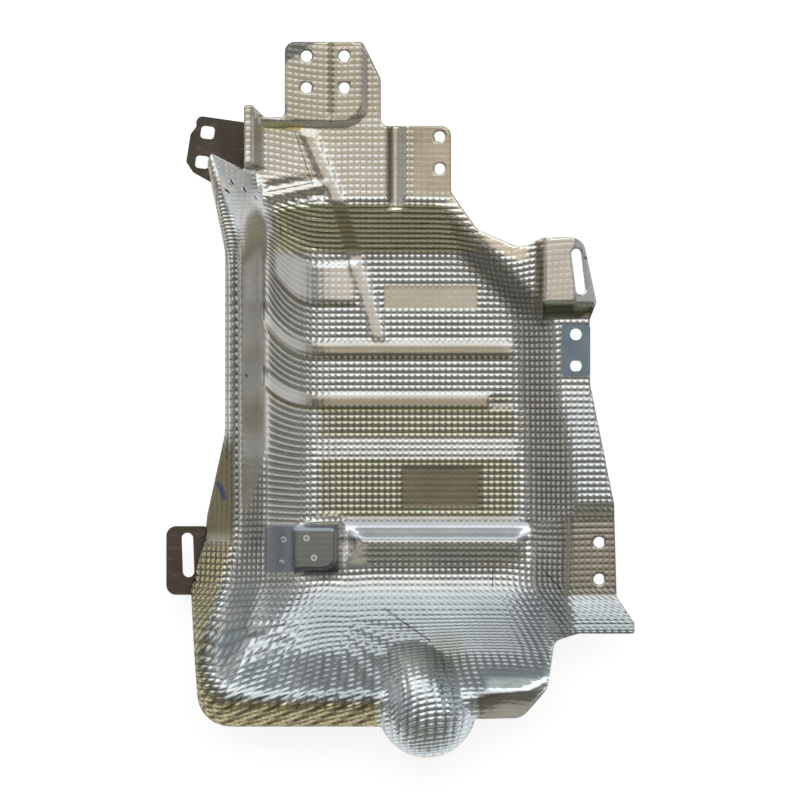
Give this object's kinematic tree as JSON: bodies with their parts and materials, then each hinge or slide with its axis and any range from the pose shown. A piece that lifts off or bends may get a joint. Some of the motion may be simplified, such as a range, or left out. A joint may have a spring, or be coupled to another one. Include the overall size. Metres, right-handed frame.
{
  "type": "heat shield",
  "caption": "Pressed and embossed aluminium heat shield for a vehicle, a shallow tub with rimmed flanges, raised beads, drilled tabs and steel fixing brackets held behind it.",
  "frame": {"origin": "centre of the whole part's box, on the underside of the tub's floor", "axes": "+X to the side of the stepped right flange, +Y to the end with the four-hole tab, +Z out of the hollow"},
  "size_m": [0.374, 0.572, 0.072],
  "materials": {
    "aluminium_sheet": "bright embossed sheet",
    "bracket_steel": "dark brown-grey phosphated steel",
    "rivet_metal": "dull pressed metal",
    "blued_steel": "blued steel"
  },
  "bodies": {
    "root": {"shield_panel": "aluminium_sheet", "upper_left_bracket": "bracket_steel", "upper_bracket_rivets": "rivet_metal", "lower_left_bracket": "bracket_steel", "lower_bracket_rivets": "rivet_metal", "right_plate": "blued_steel"}
  },
  "joints": []
}
